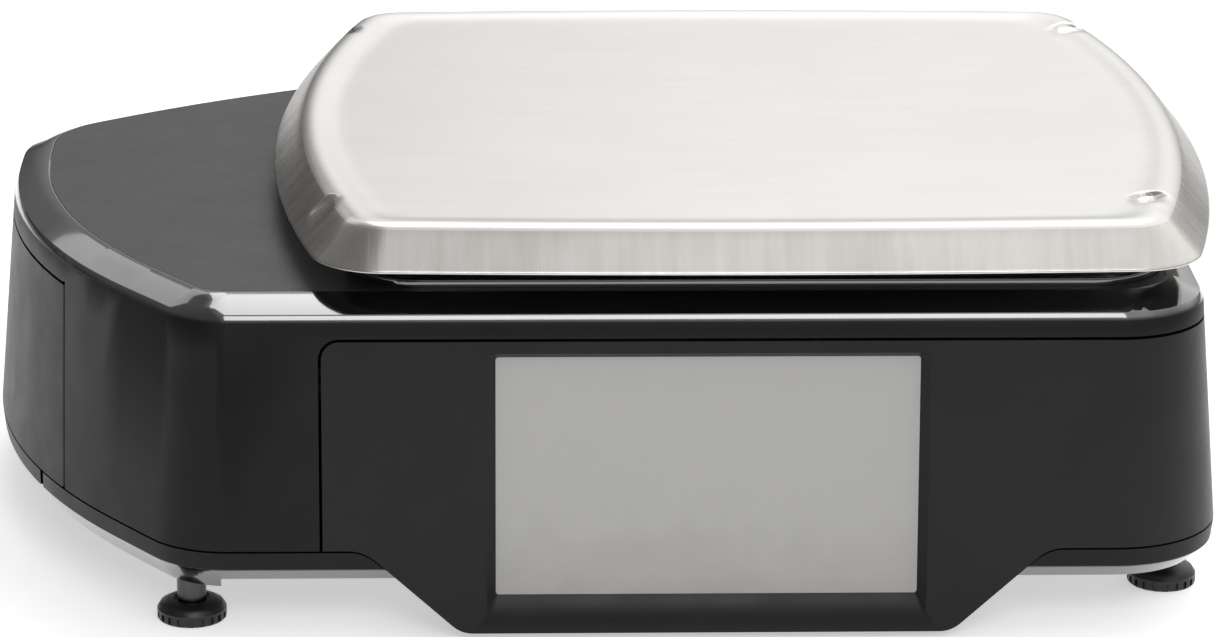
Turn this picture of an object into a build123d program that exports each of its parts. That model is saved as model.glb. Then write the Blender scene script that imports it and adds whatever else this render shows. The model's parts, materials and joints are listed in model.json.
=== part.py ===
"""Retail price scale with a built-in label printer, as an assembly of separate pieces.

Frame: origin at the bottom centre of the overall box, +X to the customer's right,
+Y from the customer towards the operator, +Z up. All sizes are in millimetres.
The pieces are drawn about the middle of the housing, and move by -MIDDLE_X as they are written,
because the platter overhangs the housing on the right.
"""
import os
from math import atan2, cos, degrees, hypot, pi, radians, sin

from build123d import *

os.makedirs("parts", exist_ok=True)

# ---------------------------------------------------------------- driving dimensions
# heights of the housing
DECK = 135.5            # top of the deck plate around the platter
WALL_TOP = 128.0        # where the upright wall turns into the bevelled rim
SPLIT = 36.5            # parting line between the housing and the base pan
PAN_BOTTOM = 22.8       # underside of the base pan
POD_BOTTOM = 3.0        # underside of the customer display pod

# plan of the housing at WALL_TOP
HALF_WIDTH = 240.35
FRONT = -217.0
REAR = 165.0
FLARE = 8.0             # how far the wall spreads outwards from WALL_TOP to SPLIT
WALL = 3.0
GAP = 1.2               # parting gap around the panels, the door and the printer face

# bevelled rim and deck
RIM_EDGE = (1.5, 2.2)   # inset and rise of the rim's rounded lower edge
RIM_INSET = 14.0
INLAY_THICKNESS = 1.2

# platter
PLATTER_X, PLATTER_Y = 64.0, -32.0
PLATTER_HALF_WIDTH, PLATTER_HALF_DEPTH = 193.5, 184.0
SIDE_BULGE, FRONT_BULGE = 25.0, 4.0
PLATTER_CORNER = 30.0
SKIRT_BOTTOM, PLATTER_TOP = 145.5, 162.0
PLATTER_FLOOR = 160.3
PLATTER_UNDERSIDE = 158.6
MIDDLE_X = (PLATTER_X + PLATTER_HALF_WIDTH - HALF_WIDTH - FLARE) / 2

# customer display, centred on DISPLAY_X in the leaning front wall
DISPLAY_X = 43.85
SCREEN = (165.0, 95.3)
SCREEN_Z = 65.2         # height of the screen's centre
SCREEN_DEPTH = 4.0      # how far the glass sits behind the panel's face
RECESS = (172.2, 104.8)
RECESS_Z = 62.7
POD_TOP_HALF, POD_BOTTOM_HALF = 134.0, 96.0
POD_DEPTH = 27.0
PANEL_LEFT = -106.0     # left edge of the front panel
PANEL_TOP = 119.6
PANEL_WRAP = -118.0     # where the front panel ends on the right-hand wall

# operator console: a wedge behind the rear wall, with a display in its slope
CONSOLE_LEFT = 0.0
CONSOLE_CORNER, REAR_CORNER = 18.0, 35.0
OPERATOR_REGION = (8.0, 205.0)
OPERATOR_TOP = 120.0
OPERATOR_SCREEN = (140.0, 78.0)
KEY = 13.0

# printer door: it turns about a line that follows the leaning wall
DOOR_TOP = 118.0
BIG_ARC_CENTRE = (54.65, -7.3)
BIG_ARC = 295.0
DOOR_FRONT_ANGLE = (206.0, 208.1)   # around the big arc, at DOOR_TOP and at SPLIT
HINGE_DEPTH = 2.4       # axis below the wall's outer face, and radius of the door's bead
HINGE_PIN = 1.2
NOSE_LINE = (-216.35, 56.0)
NOSE_HEADING = 38.0
SHOULDER = 64.0         # where the nose line gives way to the next side
FACE_START, FACE_END = -13.0, 96.0   # printer face, measured along the nose line

# label printer, in its own frame: x along the roll, y towards the label outlet
PRINT_HEADING = 32.0
ROLL_CENTRE = (-122.0, -10.0, 80.0)
WEB = 60.0
SIDE_PLATE_X = 36.0
PLATEN = (84.0, -14.0, 8.0)          # y, z and radius in the printer's frame
GEAR_MODULE = 1.0
PLATEN_TEETH, IDLER_TEETH, PINION_TEETH = 22, 20, 12
GEAR_X = 39.5
GEAR_WIDTH = 5.0
OUTLET_SLOT = (66.0, 9.0)
TEAR_BAR_Y = 105.0

# feet: plan positions of the four levelling feet
FEET = {
    "front_left": (-158.65, -200.0),
    "front_right": (231.35, -166.0),
    "rear_left": (-85.0, 100.0),
    "rear_right": (205.0, 190.0),
}
PAD_RADIUS = 13.7
STUD_RADIUS = 5.8
RUNNING = 0.05          # radial clearance of a running fit

LEAN = FLARE / (WALL_TOP - SPLIT)


def front_y(z):
    """Y of the outer face of the leaning front wall at height z."""
    return FRONT - LEAN * (WALL_TOP - z)


REAR_BASE = -front_y(POD_BOTTOM)     # the rear reaches back as far as the pod reaches forward
REAR_REACH = REAR_BASE - REAR - FLARE


# ---------------------------------------------------------------- shape helpers
def heading_vector(heading):
    return Vector(cos(radians(heading)), sin(radians(heading)))


def nose_point(distance, outwards=0.0):
    """A plan point along the nose line, moved outwards from it."""
    return (Vector(*NOSE_LINE) + heading_vector(NOSE_HEADING) * distance
            + heading_vector(NOSE_HEADING + 90) * outwards)


# straight sides of the plan: a point on the side, its heading, and the corner radius at its end
SIDES = (
    (Vector(0.0, FRONT), 180.0, 30.0),
    (Vector(-157.65, FRONT), 126.0, BIG_ARC),
    (Vector(-HALF_WIDTH, 0.0), 90.0, 55.0),
    (nose_point(0.0), NOSE_HEADING, 500.0),
    (nose_point(SHOULDER), 24.0, 120.0),
    (Vector(0.0, REAR), 0.0, REAR_CORNER),
    (Vector(HALF_WIDTH, 0.0), -90.0, 36.0),
)


def crossing(first, second):
    """Where two lines, each a point and a direction, cross in plan."""
    (p, d), (q, e) = first, second
    return p + d * (((q - p).cross(e)).Z / d.cross(e).Z)


def plan(spread):
    """The housing's plan at WALL_TOP, grown outwards by spread."""
    lines = [
        (point + heading_vector(heading + 90) * spread, heading_vector(heading))
        for point, heading, _ in SIDES
    ]
    corners = [crossing(a, b) for a, b in zip(lines, lines[1:] + lines[:1])]
    radii = [radius + spread for *_, radius in SIDES]
    return make_face(FilletPolyline(*corners, radius=radii, close=True))


def console_plan(spread, reach):
    """The operator console's plan: it joins the rear wall and reaches back behind it."""
    left, right, back = CONSOLE_LEFT - spread, HALF_WIDTH + spread, REAR + spread + reach
    return polygon(
        (left, 100), (left, back), (right, back), (right, 100),
        radius=[0, CONSOLE_CORNER + spread, REAR_CORNER + spread, 0])


def stack(levels):
    """A solid through the plan at rising levels, each (height, spread, reach)."""
    body = loft([Pos(0, 0, z) * plan(spread) for z, spread, _ in levels], ruled=True)
    lower = [level for level in levels if level[0] <= WALL_TOP]
    console = loft([Pos(0, 0, z) * console_plan(spread, reach) for z, spread, reach in lower], ruled=True)
    return body + console


def slab(sketch, low, high):
    """A flat sketch raised between two heights."""
    return Pos(0, 0, low) * extrude(sketch, high - low)


def polygon(*points, radius=0.0):
    radii = [radius] * len(points) if isinstance(radius, (int, float)) else radius
    return make_face(FilletPolyline(*points, radius=radii, close=True))


def side_view(*points, radius=0.0):
    """A polygon of (X, Z) points on the XZ plane, to be extruded along Y."""
    return Plane.XZ * polygon(*points, radius=radius)


def along_y(sketch, start, end):
    """An XZ sketch extruded between two Y positions."""
    return Pos(0, start, 0) * extrude(sketch, -(end - start))


def block(low, high):
    """A box between two opposite corners."""
    size = [b - a for a, b in zip(low, high)]
    centre = [(a + b) / 2 for a, b in zip(low, high)]
    return Pos(*centre) * Box(*size)


def rod(radius, start, end):
    """A cylinder between two points."""
    start, end = Vector(*start), Vector(*end)
    return Plane(origin=start, z_dir=end - start) * extrude(Circle(radius), (end - start).length)


def tube(radius, bore, start, end):
    return rod(radius, start, end) - rod(bore, start, end)


def in_printer(shape):
    """Moves a shape from the printer's own frame into the part's frame."""
    return Plane(origin=ROLL_CENTRE, x_dir=heading_vector(PRINT_HEADING), z_dir=(0, 0, 1)) * shape


def x_rod(radius, low, high, y=0.0, z=0.0):
    return rod(radius, (low, y, z), (high, y, z))


# ---------------------------------------------------------------- housing shell and its regions
def housing_block():
    return stack([
        (SPLIT, FLARE, REAR_REACH),
        (WALL_TOP, 0.0, 0.0),
        (WALL_TOP + RIM_EDGE[1], -RIM_EDGE[0], 0.0),
        (DECK, -RIM_INSET, 0.0),
    ])


def housing_hollow():
    return stack([
        (SPLIT, FLARE - WALL, REAR_REACH),
        (WALL_TOP, -WALL, 0.0),
        (DECK - WALL, -RIM_INSET, 0.0),
    ])


def front_region(grow=0.0):
    left, top = PANEL_LEFT - grow, PANEL_TOP + grow
    outline = side_view(
        (left, SPLIT - 5), (left, top), (300, top), (300, SPLIT - 5),
        radius=[0, 7.0 + grow, 0, 0])
    return along_y(outline, -300, PANEL_WRAP + grow)


def inside_wall(angle, z):
    """The point just inside the left wall at an angle of its big arc and a height."""
    reach = BIG_ARC + LEAN * (WALL_TOP - z) - HINGE_DEPTH
    spot = Vector(*BIG_ARC_CENTRE) + heading_vector(angle) * reach
    return Vector(spot.X, spot.Y, z)


HINGE_HIGH = inside_wall(DOOR_FRONT_ANGLE[0], DOOR_TOP)
HINGE_LOW = inside_wall(DOOR_FRONT_ANGLE[1], SPLIT)


def hinge_point(z):
    """The door's axis at height z; it leans with the wall."""
    share = (DOOR_TOP - z) / (DOOR_TOP - SPLIT)
    return HINGE_HIGH + (HINGE_LOW - HINGE_HIGH) * share


def door_region(grow=0.0):
    end = FACE_START - GAP / 2 + grow / 2
    sections = []
    for z in (SPLIT - 5, DOOR_TOP + grow):
        axis = hinge_point(z)
        outwards = (axis - Vector(*BIG_ARC_CENTRE, z)).normalized()
        corners = [
            axis - outwards * 30, axis + outwards * 20, (-320, -160), (-320, 120),
            nose_point(end, 40), nose_point(end, -30), (-190, 0),
        ]
        sections.append(Pos(0, 0, z) * polygon(*[(Vector(*c).X, Vector(*c).Y) for c in corners]))
    return loft(sections, ruled=True)


def hinge_line(radius, low, high):
    return rod(radius, hinge_point(low), hinge_point(high))


def face_region(grow=0.0):
    start, end = FACE_START + GAP / 2 - grow / 2, FACE_END + grow
    corners = [nose_point(start, -30), nose_point(start, 40), nose_point(end, 80), nose_point(end, -40)]
    return slab(polygon(*corners), SPLIT - 5, DOOR_TOP + grow)


def operator_region(grow=0.0):
    left, right = OPERATOR_REGION[0] - grow, OPERATOR_REGION[1] + grow
    top = OPERATOR_TOP + grow
    corner = 7.0 + grow
    outline = side_view(
        (left, SPLIT - 5), (left, top), (right, top), (right, SPLIT - 5), radius=[0, corner, corner, 0])
    return along_y(outline, 140, 300)


FRONT_FACE = Plane(origin=(DISPLAY_X, front_y(0), 0), x_dir=(1, 0, 0), z_dir=(0, SPLIT - WALL_TOP, FLARE))
REAR_FACE = Plane(
    origin=(sum(OPERATOR_REGION) / 2, (REAR + REAR_BASE) / 2, (WALL_TOP + SPLIT) / 2), x_dir=(-1, 0, 0),
    z_dir=(0, WALL_TOP - SPLIT, REAR_BASE - REAR))


def on_front(sketch, x, z, depth, thickness):
    """A sketch on the leaning front face at height z, sunk by depth and given a thickness inwards."""
    return FRONT_FACE * Pos(x, z / FRONT_FACE.y_dir.Z, -depth) * extrude(sketch, -thickness)


def on_rear(sketch, x, y, depth, thickness):
    """A sketch on the sloping rear face, sunk by depth and given a thickness inwards."""
    return REAR_FACE * Pos(x, y, -depth) * extrude(sketch, -thickness)


def tapered_window(plane, outer, inner, depth):
    """A picture-frame cut: outer and inner are (x, y, width, height), inner lies at depth."""
    sections = []
    for (x, y, width, height), sink, radius in ((outer, -0.01, 2.5), (inner, depth, 1.2)):
        sections.append(plane * Pos(x, y, -sink) * RectangleRounded(width, height, radius))
    return loft(sections, ruled=True)


SCREEN_UP = SCREEN_Z / FRONT_FACE.y_dir.Z
RECESS_UP = RECESS_Z / FRONT_FACE.y_dir.Z

# ---------------------------------------------------------------- weighing well
RING_Y = -43.0
RING_HALF_X, RING_HALF_Y, RING_CORNER = 161.0, 155.0, 30.0
RING_HEIGHT, RING_WIDTH = 4.5, 7.0
WELL = 56.0


def ring_outline(grow=0.0):
    return Pos(PLATTER_X, RING_Y) * RectangleRounded(
        2 * (RING_HALF_X + grow), 2 * (RING_HALF_Y + grow), RING_CORNER + grow)


def main_cover():
    cover = housing_block() - housing_hollow()
    for region in (front_region, door_region, face_region, operator_region):
        cover -= region(GAP)
    cover -= hinge_line(HINGE_DEPTH + 0.8, SPLIT - 4, DOOR_TOP + GAP)
    cover -= slab(plan(-RIM_INSET - 0.6), DECK - INLAY_THICKNESS, DECK + 5)
    cover -= slab(Pos(PLATTER_X, PLATTER_Y) * RectangleRounded(2 * WELL, 2 * WELL, 12), DECK - 10, DECK)
    for cut in side_wall_cuts():
        cover -= cut
    top = DOOR_TOP + GAP
    cover += hinge_line(3.4, top, DECK - 4) & housing_block()
    cover += screw_posts()
    return cover - hinge_line(HINGE_PIN, top - 1, top + 7)


def top_inlay():
    sheet = slab(plan(-RIM_INSET - 0.9), DECK - INLAY_THICKNESS, DECK)
    return sheet - slab(ring_outline(0.3), DECK - 5, DECK + 5)


def spill_ring():
    ring = slab(ring_outline(), DECK - INLAY_THICKNESS, DECK + RING_HEIGHT)
    top_edges = ring.faces().sort_by(Axis.Z)[-1].edges()
    ring = fillet(top_edges, 2.6)
    return ring - slab(ring_outline(-RING_WIDTH), DECK - 5, DECK + 10)


# ---------------------------------------------------------------- front panel and customer display
def pod_outline(shrink=0.0, top=SPLIT):
    """The pod's front outline below the parting line, as (X, Z) points."""
    slant = shrink * 1.6
    slope = (POD_TOP_HALF - POD_BOTTOM_HALF) / (SPLIT - POD_BOTTOM)
    top_half = POD_TOP_HALF + slope * (top - SPLIT) - slant
    low_half = POD_BOTTOM_HALF + slope * shrink - slant
    return side_view(
        (DISPLAY_X - top_half, top), (DISPLAY_X - low_half, POD_BOTTOM + shrink),
        (DISPLAY_X + low_half, POD_BOTTOM + shrink), (DISPLAY_X + top_half, top),
        radius=[0, 12, 12, 0])


def skirt_outline(grow=0.0):
    """The panel's lower edge, with its rounded steps where the pod starts."""
    wing, low, edge = POD_TOP_HALF + 12, POD_BOTTOM - grow, SPLIT - grow
    slant = grow * 0.6
    return side_view(
        (DISPLAY_X - wing, SPLIT + 8), (DISPLAY_X - wing, edge), (DISPLAY_X - POD_TOP_HALF - slant, edge),
        (DISPLAY_X - POD_BOTTOM_HALF - slant, low), (DISPLAY_X + POD_BOTTOM_HALF + slant, low),
        (DISPLAY_X + POD_TOP_HALF + slant, edge), (DISPLAY_X + wing, edge), (DISPLAY_X + wing, SPLIT + 8),
        radius=[0, 0, 16, 12, 12, 16, 0, 0])


def ahead_of_front(depth=0.0):
    """Everything in front of the leaning face, or of the face moved inwards by depth."""
    return FRONT_FACE * Pos(0, 0, 50 - depth) * Box(700, 500, 100)


def pod(grow=0.0):
    back = front_y(SPLIT) + POD_DEPTH + grow
    return along_y(pod_outline(-grow, SPLIT + 2), -260, back) - ahead_of_front()


def front_panel():
    panel = (housing_block() - housing_hollow()) & front_region()
    thin_skirt = along_y(skirt_outline(), -260, -190) - ahead_of_front()
    panel += thin_skirt & ahead_of_front(WALL - 0.4)
    back = front_y(SPLIT) + POD_DEPTH - WALL
    hollow = along_y(pod_outline(WALL, SPLIT + 20), -260, back) - ahead_of_front(WALL)
    panel += pod() - hollow
    panel += on_front(RectangleRounded(186, 112, 5), 0, RECESS_Z, 1.0, 6.5)
    panel -= tapered_window(FRONT_FACE, (0, RECESS_UP, *RECESS), (0, SCREEN_UP, *SCREEN), SCREEN_DEPTH)
    panel -= on_front(RectangleRounded(SCREEN[0] + 4, SCREEN[1] + 4, 2), 0, SCREEN_Z, SCREEN_DEPTH, 20)
    return panel


def customer_screen():
    return on_front(RectangleRounded(SCREEN[0] + 3, SCREEN[1] + 3, 1.5), 0, SCREEN_Z, SCREEN_DEPTH, 1.8)


def customer_lcd_module():
    return on_front(Rectangle(SCREEN[0] + 2, SCREEN[1] + 2), 0, SCREEN_Z, SCREEN_DEPTH + 1.8, 5.0)


def customer_display_board():
    board = on_front(Rectangle(120, 70), 0, SCREEN_Z, SCREEN_DEPTH + 9.0, 1.6)
    for x in (-55, 55):
        for y in (-30, 30):
            board += on_front(Pos(x, y) * Circle(3), 0, SCREEN_Z, SCREEN_DEPTH + 6.8, 2.2)
    return board


# ---------------------------------------------------------------- operator side
KEY_SPOTS = {"power_key": (-78.0, 12.0), "feed_key": (-78.0, -14.0)}
SCREEN_SHIFT = (18.0, -4.0)


def operator_panel():
    width, height = OPERATOR_SCREEN
    panel = (housing_block() - housing_hollow()) & operator_region()
    panel += on_rear(RectangleRounded(width + 14, height + 10, 4), *SCREEN_SHIFT, 1.0, 6.5)
    window = (*SCREEN_SHIFT, width + 7, height + 7)
    panel -= tapered_window(REAR_FACE, window, (*SCREEN_SHIFT, *OPERATOR_SCREEN), 3.0)
    panel -= on_rear(RectangleRounded(width + 4, height + 4, 2), *SCREEN_SHIFT, 3.0, 20)
    for x, y in KEY_SPOTS.values():
        panel -= on_rear(RectangleRounded(KEY, KEY, 2.0), x, y, -2, 20)
    return panel


def operator_screen():
    width, height = OPERATOR_SCREEN
    return on_rear(RectangleRounded(width + 3, height + 3, 1.5), *SCREEN_SHIFT, 3.0, 1.8)


def operator_lcd_module():
    width, height = OPERATOR_SCREEN
    return on_rear(Rectangle(width + 2, height + 2), *SCREEN_SHIFT, 4.8, 5.0)


def key_cap(spot):
    """A square key with a guide flange under the panel that keeps it from falling out."""
    cap = on_rear(RectangleRounded(KEY - 0.6, KEY - 0.6, 1.7), *spot, -1.4, 6.0)
    return cap + on_rear(Rectangle(KEY + 3, KEY + 3), *spot, 3.3, 1.3)


def key_board():
    x = KEY_SPOTS["feed_key"][0]
    board = on_rear(Rectangle(22, 56), x, -1, 9.5, 1.6)
    for x, y in KEY_SPOTS.values():
        board += on_rear(Circle(3), x, y, 7.0, 2.5)
    return board


# ---------------------------------------------------------------- base pan
PAN_PROFILE = ((0.0, SPLIT - 0.8), (0.8, 28.6), (6.5, PAN_BOTTOM))     # inset and height: band, chamfer
PAN_WALL = 2.5
LOBE_X, LOBE_Y = -146.0, -120.0      # the pan is a little deeper under the printer's front corner
LOBE_BOTTOM = 19.3
SCREW_TOP = 44.0


def pan_block(inset=0.0, lift=0.0):
    return stack([(z + lift, FLARE - drop - inset, REAR_REACH) for drop, z in reversed(PAN_PROFILE)])


def base_pan():
    pan = pan_block()
    lobe = stack([(LOBE_BOTTOM, FLARE - 7.6, REAR_REACH), (28.0, FLARE - 1.8, REAR_REACH)])
    pan += lobe & block((-300, -300, 0), (LOBE_X, LOBE_Y, 60))
    pan -= pan_block(PAN_WALL, PAN_WALL)
    bosses = [rod(16.0, (x, y, LOBE_BOTTOM), (x, y, SPLIT - 1)) for x, y in FEET.values()]
    within = slab(plan(FLARE - 9), 0, 60) + slab(console_plan(FLARE - 9, REAR_REACH), 0, 60)
    for boss in bosses:
        pan += boss & within
    pan -= pod(0.6)
    pan -= (along_y(skirt_outline(0.6), -260, -190) - ahead_of_front()) & ahead_of_front(WALL + 0.6)
    for x, y in FEET.values():
        pan -= rod(STUD_RADIUS + RUNNING, (x, y, 0), (x, y, 60))
    pan -= bay_sill_region(GAP)
    for x, y in CASE_SCREWS:
        pan -= rod(2.2, (x, y, 10), (x, y, 40))
    return pan - hinge_line(HINGE_PIN, SPLIT - 7, SPLIT + 8)


def bay_sill_region(grow=0.0):
    """The left-hand part of the pan's edge, below the printer door."""
    corners = [(-320, -156 - grow), (-320, 20 + grow), (-232 + grow, 20 + grow), (-222 + grow, -156 - grow)]
    return slab(polygon(*corners), 26.0 - grow, SPLIT + 2)


def bay_sill():
    sill = (pan_block() - pan_block(PAN_WALL, PAN_WALL)) & bay_sill_region()
    return sill - hinge_line(HINGE_PIN, SPLIT - 7, SPLIT + 8)


CASE_SCREWS = ((-120, -150), (-50, 112), (60, -155), (195, -165), (226, 148), (40, 140))


def case_screws():
    """Pan-head screws that hold the housing to the base pan."""
    screws = []
    for x, y in CASE_SCREWS:
        head = rod(3.8, (x, y, PAN_BOTTOM - 2.2), (x, y, PAN_BOTTOM))
        screws.append(head + rod(2.0, (x, y, PAN_BOTTOM - 1), (x, y, SCREW_TOP)))
    return Compound(screws)


def screw_posts():
    """Posts moulded under the deck that take the case screws."""
    posts = Part()
    for x, y in CASE_SCREWS:
        posts += tube(4.5, 2.0, (x, y, PAN_BOTTOM + PAN_WALL + 0.3), (x, y, SCREW_TOP))
        posts += rod(4.5, (x, y, SCREW_TOP), (x, y, DECK - WALL + 0.5))
    return posts


# ---------------------------------------------------------------- feet
def foot_pad(x, y):
    """A moulded pad: castellated rim, and a domed top with a dished ring round the stud."""
    profile = polygon(
        (0, 0), (PAD_RADIUS - 0.8, 0), (PAD_RADIUS, 0.8), (PAD_RADIUS, 4.6), (12.4, 6.6),
        (9.8, 8.0), (7.6, 8.4), (6.8, 7.4), (0, 7.4))
    pad = revolve(Plane.XZ * profile, Axis.Z)
    notches = 20
    for i in range(notches):
        pad -= Rot(0, 0, i * 360 / notches) * Pos(PAD_RADIUS, 0, 1.8) * Box(1.6, 2.0, 3.6)
    pad -= rod(STUD_RADIUS + RUNNING, (0, 0, 3.0), (0, 0, 12))
    return Pos(x, y, 0) * pad


def foot_stud(x, y):
    stud = rod(STUD_RADIUS, (x, y, 3.0), (x, y, 46.0))
    return chamfer(stud.faces().sort_by(Axis.Z)[-1].edges(), 0.8)


# ---------------------------------------------------------------- weighing mechanism
CELL = (150.0, 30.0, 25.0)
CELL_BOTTOM = 78.0
PLATE_TOP = 72.0
SPIDER_PLATE = (CELL_BOTTOM + CELL[2] + 5.0, 6.0)     # underside and thickness
ARM_HEIGHT, ARM_THICKNESS = 142.0, 8.0
ARM_REACH = (118.0, 122.0)


def at_platter(x, y):
    return PLATTER_X + x, PLATTER_Y + y


def chassis_frame():
    """A folded steel plate on four legs that carries the load cell."""
    x, y = at_platter(0, 0)
    frame = slab(Pos(x, y) * RectangleRounded(200, 130, 8), PLATE_TOP - 3, PLATE_TOP)
    floor = PAN_BOTTOM + PAN_WALL
    for side in (-1, 1):
        frame += block((x + side * 100 - 1.5, y - 60, floor), (x + side * 100 + 1.5, y + 60, PLATE_TOP))
        frame += block((x + side * 90 - 10, y - 60, floor), (x + side * 90 + 10, y + 60, floor + 3))
    for dx in (-62, 62):
        for dy in (-30, 30):
            frame -= rod(3.05, (x + dx, y + dy, 60), (x + dx, y + dy, 90))
    return frame


def load_cell():
    x, y = at_platter(0, 0)
    bar = block(
        (x - CELL[0] / 2, y - CELL[1] / 2, CELL_BOTTOM),
        (x + CELL[0] / 2, y + CELL[1] / 2, CELL_BOTTOM + CELL[2]))
    middle = CELL_BOTTOM + CELL[2] / 2
    for dx in (-18, 18):
        bar -= rod(8.5, (x + dx, y - 20, middle), (x + dx, y + 20, middle))
    bar -= block((x - 18, y - 20, middle - 3), (x + 18, y + 20, middle + 3))
    return bar


def load_cell_spacers():
    x, y = at_platter(0, 0)
    lower = block((x - 74, y - 15, PLATE_TOP), (x - 40, y + 15, CELL_BOTTOM))
    upper = block((x + 40, y - 15, CELL_BOTTOM + CELL[2]), (x + 74, y + 15, SPIDER_PLATE[0]))
    return Compound([lower, upper])


def load_cell_screws():
    """Socket-head screws: two clamp each end of the load cell."""
    x, y = at_platter(0, 0)
    screws = []
    for dx, bottom, top in ((-64, PLATE_TOP - 6, PLATE_TOP - 3), (-50, PLATE_TOP - 6, PLATE_TOP - 3)):
        screws.append(rod(5, (x + dx, y, bottom), (x + dx, y, top)))
    top = SPIDER_PLATE[0] + SPIDER_PLATE[1]
    for dx in (50, 64):
        screws.append(rod(5, (x + dx, y, top), (x + dx, y, top + 5)))
    return Compound(screws)


def overload_stops():
    """Set screws that stop the load carrier before the load cell is overstrained."""
    x, y = at_platter(0, 0)
    stops = []
    for dx in (-62, 62):
        for dy in (-30, 30):
            stops.append(rod(3, (x + dx, y + dy, PLATE_TOP - 8), (x + dx, y + dy, SPIDER_PLATE[0] - 0.5)))
    return Compound(stops)


def spider():
    """The die-cast load carrier: plate, neck and four arms under the platter."""
    x, y = at_platter(0, 0)
    low, thick = SPIDER_PLATE
    carrier = slab(Pos(x, y) * RectangleRounded(156, 84, 8), low, low + thick)
    carrier += rod(24, (x, y, low + thick), (x, y, ARM_HEIGHT + ARM_THICKNESS))
    angle = degrees(atan2(ARM_REACH[1], ARM_REACH[0]))
    length = 2 * hypot(*ARM_REACH)
    for turn in (angle, -angle):
        arm = Pos(x, y) * Rot(0, 0, turn) * SlotOverall(length + 24, 24)
        carrier += slab(arm, ARM_HEIGHT, ARM_HEIGHT + ARM_THICKNESS)
    return carrier


def spider_pads():
    """Soft studs on the arm ends that the platter rests on."""
    pads = []
    for i in (-1, 1):
        for j in (-1, 1):
            x, y = at_platter(i * ARM_REACH[0], j * ARM_REACH[1])
            pads.append(rod(9, (x, y, ARM_HEIGHT + ARM_THICKNESS), (x, y, PLATTER_UNDERSIDE)))
    return Compound(pads)


def platter_plan(inset=0.0):
    """A rounded rectangle with bulging sides, centred on the platter."""
    crown_x, crown_y = PLATTER_HALF_WIDTH - inset, PLATTER_HALF_DEPTH - inset
    half_x, half_y = crown_x - SIDE_BULGE, crown_y - FRONT_BULGE
    corners = [(-half_x, -half_y), (half_x, -half_y), (half_x, half_y), (-half_x, half_y)]
    crowns = [(0, -crown_y), (crown_x, 0), (0, crown_y), (-crown_x, 0)]
    sides = [
        ThreePointArc(start, crown, end)
        for start, crown, end in zip(corners, crowns, corners[1:] + corners[:1])
    ]
    face = make_face(sides)
    face = fillet(face.vertices(), PLATTER_CORNER - inset)
    return Pos(PLATTER_X, PLATTER_Y) * face


def platter_stack(levels):
    return loft([Pos(0, 0, z) * platter_plan(inset) for inset, z in levels], ruled=True)


def platter():
    """A pressed steel tray: sloping skirt, raised lip and a shallow floor."""
    shell = platter_stack([(0, SKIRT_BOTTOM), (11.5, PLATTER_TOP - 1.2), (13.5, PLATTER_TOP)])
    shell -= platter_stack([(1.4, SKIRT_BOTTOM), (12.4, PLATTER_UNDERSIDE)])
    floor_cut = platter_stack([(24, PLATTER_FLOOR), (16.5, PLATTER_TOP + 0.01)])
    return shell - floor_cut


# ---------------------------------------------------------------- electronics
BOARD = ((100.0, 45.0), (205.0, 135.0))
SUPPLY = ((186.0, -140.0), (234.0, -32.0))
INLET_Y, SWITCH_Y, PORTS_Y = 20.0, 58.0, 100.0
SOCKET_Z = 66.0
SOCKET_FACE = 243.0
BOARD_Z, SUPPLY_Z = 50.0, 29.5
INLET_CAVITY = 17.0


def mainboard():
    (x0, y0), (x1, y1) = BOARD
    return block((x0, y0, BOARD_Z), (x1, y1, BOARD_Z + 1.6))


def board_standoffs():
    """Pillars under the mainboard and the power supply."""
    posts = []
    for ((x0, y0), (x1, y1)), top in ((BOARD, BOARD_Z), (SUPPLY, SUPPLY_Z)):
        for x in (x0 + 6, x1 - 6):
            for y in (y0 + 6, y1 - 6):
                posts.append(rod(3.2, (x, y, PAN_BOTTOM + PAN_WALL), (x, y, top)))
    return Compound(posts)


def board_chips():
    """Processor under its heat sink, memory, connectors and capacitors, as a group."""
    (x0, y0), _ = BOARD
    top = BOARD_Z + 1.6
    chips = []
    for dx, dy, width, depth, height in (
        (52, 18, 12, 18, 1.5), (52, 44, 12, 18, 1.5), (20, 66, 40, 7, 6), (80, 70, 20, 8, 7)):
        chips.append(block((x0 + dx, y0 + dy, top), (x0 + dx + width, y0 + dy + depth, top + height)))
    for dy in (14, 28, 42):
        chips.append(rod(4, (x0 + 90, y0 + dy, top), (x0 + 90, y0 + dy, top + 11)))
    x, y = x0 + 20, y0 + 20
    sink = block((x, y, top), (x + 24, y + 24, top + 4.4))
    for i in range(6):
        sink += block((x + i * 4.4, y, top + 4), (x + i * 4.4 + 1.6, y + 24, top + 15))
    return Compound(chips + [sink])


def power_supply():
    (x0, y0), (x1, y1) = SUPPLY
    body = block((x0, y0, SUPPLY_Z), (x1, y1, 66))
    for i in range(8):
        y = y0 + 14 + i * 11
        body -= block((x0 + 12, y, 64.5), (x1 - 12, y + 4, 70))
    return body


def mains_inlet():
    """Appliance inlet: a flanged shell with three pins standing in its cavity."""
    body = block((214, INLET_Y - 14, SOCKET_Z - 10), (SOCKET_FACE, INLET_Y + 14, SOCKET_Z + 10))
    body += block(
        (SOCKET_FACE - 5, INLET_Y - 17, SOCKET_Z - 13),
        (SOCKET_FACE - 2.5, INLET_Y + 17, SOCKET_Z + 13))
    back = SOCKET_FACE - INLET_CAVITY
    body -= block((back, INLET_Y - 12, SOCKET_Z - 8), (SOCKET_FACE + 1, INLET_Y + 12, SOCKET_Z + 8))
    for dy, dz in ((-7, -2), (0, 2), (7, -2)):
        y, z = INLET_Y + dy, SOCKET_Z + dz
        body += block((back - 1, y - 2, z - 1), (SOCKET_FACE - 4, y + 2, z + 1))
    return body


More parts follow.
